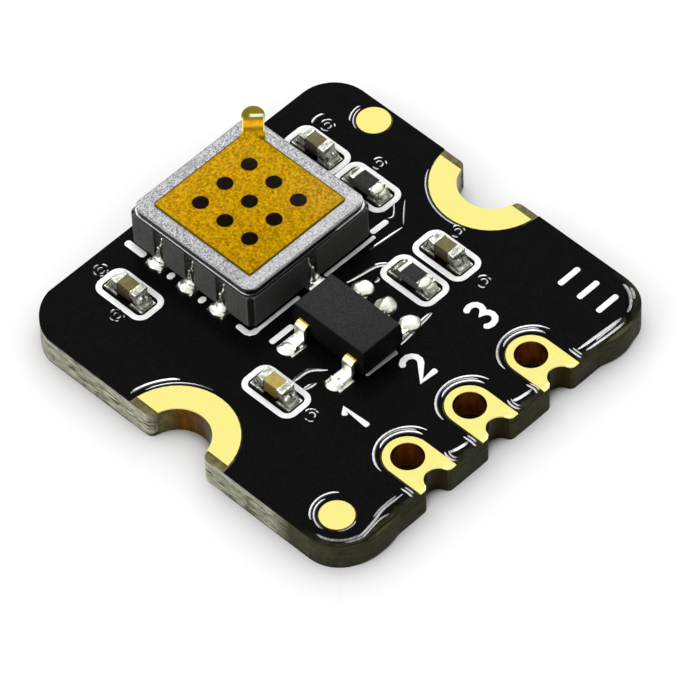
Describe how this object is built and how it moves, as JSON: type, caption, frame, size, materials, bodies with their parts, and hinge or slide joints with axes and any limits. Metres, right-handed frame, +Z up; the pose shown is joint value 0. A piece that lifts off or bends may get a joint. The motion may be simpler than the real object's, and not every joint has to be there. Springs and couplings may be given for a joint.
{
  "type": "gas sensor module",
  "caption": "Small square black breakout board with a ceramic gas sensor under a perforated metal lid, a regulator, chip parts and a row of plated pin holes.",
  "frame": {"origin": "centre of the board's underside, where the module rests", "axes": "+X along the pin edge towards the third pin, +Y from the pin edge to the back edge, +Z up out of the component side"},
  "size_m": [0.013, 0.013, 0.0026],
  "materials": {
    "laminate": "fine woven glass and epoxy, sawn edge",
    "mask": "glossy black solder mask",
    "copper": "plain foil under the mask",
    "gold": "satin gold plating",
    "package_ceramic": "matt dark fired ceramic",
    "terminal_metal": "bright tin",
    "ring_metal": "plain metal ring",
    "lid_metal": "fine speckled satin",
    "amber_film": "clear amber tape",
    "solder": "bright wetted solder",
    "die_glue": "cured glue",
    "silicon": "polished chip",
    "sensing_oxide": "porous oxide",
    "mould_compound": "matt moulded epoxy",
    "capacitor_ceramic": "smooth fired ceramic",
    "alumina": "matt white ceramic",
    "resistor_glaze": "glossy dark glaze"
  },
  "bodies": {
    "root": {"board_core": "laminate", "mask_top": "mask", "mask_bottom": "mask", "traces_top": "copper", "ground_plane": "copper", "via_barrels": "copper", "pin_land_1": "gold", "pin_land_2": "gold", "pin_land_3": "gold", "notch_land_left": "gold", "notch_land_right": "gold", "test_land_front": "gold", "test_land_back": "gold", "solder_pads": "gold", "sensor_body": "package_ceramic", "sensor_terminals": "terminal_metal", "sensor_solder": "solder", "sensor_glue": "die_glue", "sensor_die": "silicon", "sensing_film": "sensing_oxide", "bond_pads": "gold", "bond_wires": "gold", "seal_ring": "ring_metal", "sensor_lid": "lid_metal", "sensor_film": "amber_film", "regulator_body": "mould_compound", "regulator_lead_1": "terminal_metal", "regulator_lead_2": "terminal_metal", "regulator_lead_3": "terminal_metal", "regulator_lead_4": "terminal_metal", "regulator_lead_5": "terminal_metal", "regulator_solder": "solder", "capacitor_1_body": "capacitor_ceramic", "capacitor_2_body": "capacitor_ceramic", "capacitor_3_body": "capacitor_ceramic", "capacitor_4_body": "capacitor_ceramic", "capacitor_1_ends": "terminal_metal", "capacitor_2_ends": "terminal_metal", "capacitor_3_ends": "terminal_metal", "capacitor_4_ends": "terminal_metal", "resistor_1_base": "alumina", "resistor_2_base": "alumina", "resistor_1_coat": "resistor_glaze", "resistor_2_coat": "resistor_glaze", "resistor_1_ends": "terminal_metal", "resistor_2_ends": "terminal_metal", "chip_solder": "solder"}
  },
  "joints": []
}
